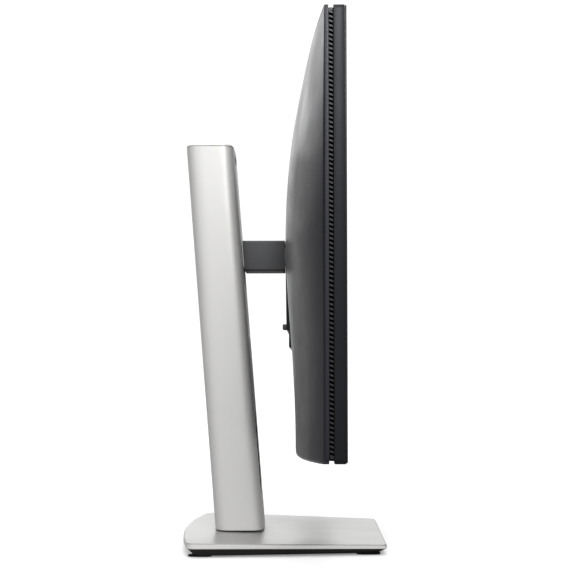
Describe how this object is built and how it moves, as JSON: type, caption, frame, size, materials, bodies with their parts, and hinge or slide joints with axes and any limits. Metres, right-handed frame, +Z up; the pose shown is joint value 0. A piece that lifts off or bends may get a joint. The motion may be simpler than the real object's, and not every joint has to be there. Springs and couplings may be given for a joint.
{
  "type": "computer monitor",
  "caption": "Flat wide desktop monitor with a thin frame and curved dark rear cover, on a leaning silver column and plate base; it swivels, lifts, tilts and pivots a little",
  "frame": {"origin": "on the desk, under the centre of the object's box", "axes": "+X to the viewer's right, +Y away from the viewer, +Z up; the screen faces -Y"},
  "size_m": [0.611, 0.1943, 0.4532],
  "materials": {
    "silver_paint": "satin silver paint",
    "silver_column": "satin silver, fine grain",
    "weight_paint": "matte black paint",
    "rubber": "matte",
    "nylon": "natural nylon",
    "steel": "zinc plated",
    "casting": "as cast",
    "shell_plastic": "fine moulded texture",
    "trim_plastic": "satin black",
    "screen": "anti-glare",
    "white_film": "matte white",
    "acrylic": "clear",
    "circuit_board": "solder mask"
  },
  "bodies": {
    "base": {"base_plate": "silver_paint", "base_weight": "weight_paint", "foot_front_left": "rubber", "foot_front_right": "rubber", "foot_rear_left": "rubber", "foot_rear_right": "rubber", "swivel_race": "nylon", "swivel_spindle": "steel", "base_screw": "steel", "swivel_nut": "steel"},
    "column": {"column_shell": "silver_column", "column_cap": "silver_column", "column_foot": "casting", "cable_liner": "trim_plastic", "guide_channel": "steel", "spring_anchor": "steel"},
    "carriage": {"lift_carriage": "casting", "glide_left": "nylon", "glide_right": "nylon", "spring_axle": "steel", "spring_drum": "nylon", "spring_coil": "steel", "spring_strip": "steel", "arm_core": "casting", "arm_cover": "shell_plastic"},
    "tilt_head": {"tilt_yoke": "steel", "tilt_shaft": "steel", "tilt_washers": "steel", "tilt_nut": "steel", "pivot_washer": "nylon", "pivot_nut": "steel"},
    "display": {"front_frame": "trim_plastic", "vent_frame": "trim_plastic", "bottom_bezel": "trim_plastic", "rear_cover": "shell_plastic", "lcd_panel": "screen", "optical_films": "white_film", "light_guide": "acrylic", "led_bar": "white_film", "reflector_sheet": "white_film", "panel_tray": "steel", "board_tray": "steel", "main_board": "circuit_board", "power_board": "circuit_board", "port_plate": "steel", "power_inlet": "trim_plastic", "hdmi_port": "steel", "display_port": "steel", "usb_b_port": "steel", "usb_a_port_1": "steel", "usb_a_port_2": "steel", "mount_plate": "steel", "mount_bracket": "steel", "joystick_housing": "trim_plastic"},
    "release_button": {"release_button": "shell_plastic"},
    "release_latch": {"release_latch": "steel"},
    "joystick_gimbal": {"joystick_gimbal": "trim_plastic"},
    "joystick_stem": {"joystick_stem": "trim_plastic"},
    "joystick_cap": {"joystick_cap": "shell_plastic"},
    "power_button": {"power_button": "shell_plastic"}
  },
  "joints": [
    {"name": "swivel", "type": "hinge", "parent": "base", "child": "column", "pos_m": [0, 0.0426, 0.0142], "axis": [0, 0, 1], "range_deg": [-45, 45]},
    {"name": "lift", "type": "slide", "parent": "column", "child": "carriage", "axis": [0, 0.0807, 0.9967], "range_m": [-0.065, 0.085], "stiffness_N_per_m": 20, "springref_m": 2.67, "deforming": ["spring_strip"]},
    {"name": "tilt", "type": "hinge", "parent": "carriage", "child": "tilt_head", "pos_m": [0, -0.0034, 0.2837], "axis": [-1, 0, 0], "range_deg": [-5, 21]},
    {"name": "pivot", "type": "hinge", "parent": "tilt_head", "child": "display", "pos_m": [0, -0.0204, 0.2837], "axis": [0, 1, 0], "range_deg": [-4, 4]},
    {"name": "release_press", "type": "slide", "parent": "display", "child": "release_button", "axis": [0, -1, 0], "range_m": [0, 0.0025], "stiffness_N_per_m": 600, "springref_m": -0.002},
    {"name": "latch_draw", "type": "slide", "parent": "display", "child": "release_latch", "axis": [0, 0, -1], "range_m": [0, 0.0025]},
    {"name": "joystick_up_down", "type": "hinge", "parent": "display", "child": "joystick_gimbal", "pos_m": [0.262, -0.0346, 0.125], "axis": [1, 0, 0], "range_deg": [-6, 6], "stiffness_Nm_per_rad": 0.05},
    {"name": "joystick_left_right", "type": "hinge", "parent": "joystick_gimbal", "child": "joystick_stem", "pos_m": [0.262, -0.0346, 0.125], "axis": [0, 0, 1], "range_deg": [-6, 6], "stiffness_Nm_per_rad": 0.05},
    {"name": "joystick_press", "type": "slide", "parent": "joystick_stem", "child": "joystick_cap", "axis": [0, -1, 0], "range_m": [0, 0.0008], "stiffness_N_per_m": 900, "springref_m": -0.001},
    {"name": "power_press", "type": "slide", "parent": "display", "child": "power_button", "axis": [0, -1, 0], "range_m": [0, 0.0008], "stiffness_N_per_m": 900, "springref_m": -0.001}
  ],
  "couplings": [
    {"joint": "latch_draw", "follows": "release_press", "ratio": 1}
  ]
}
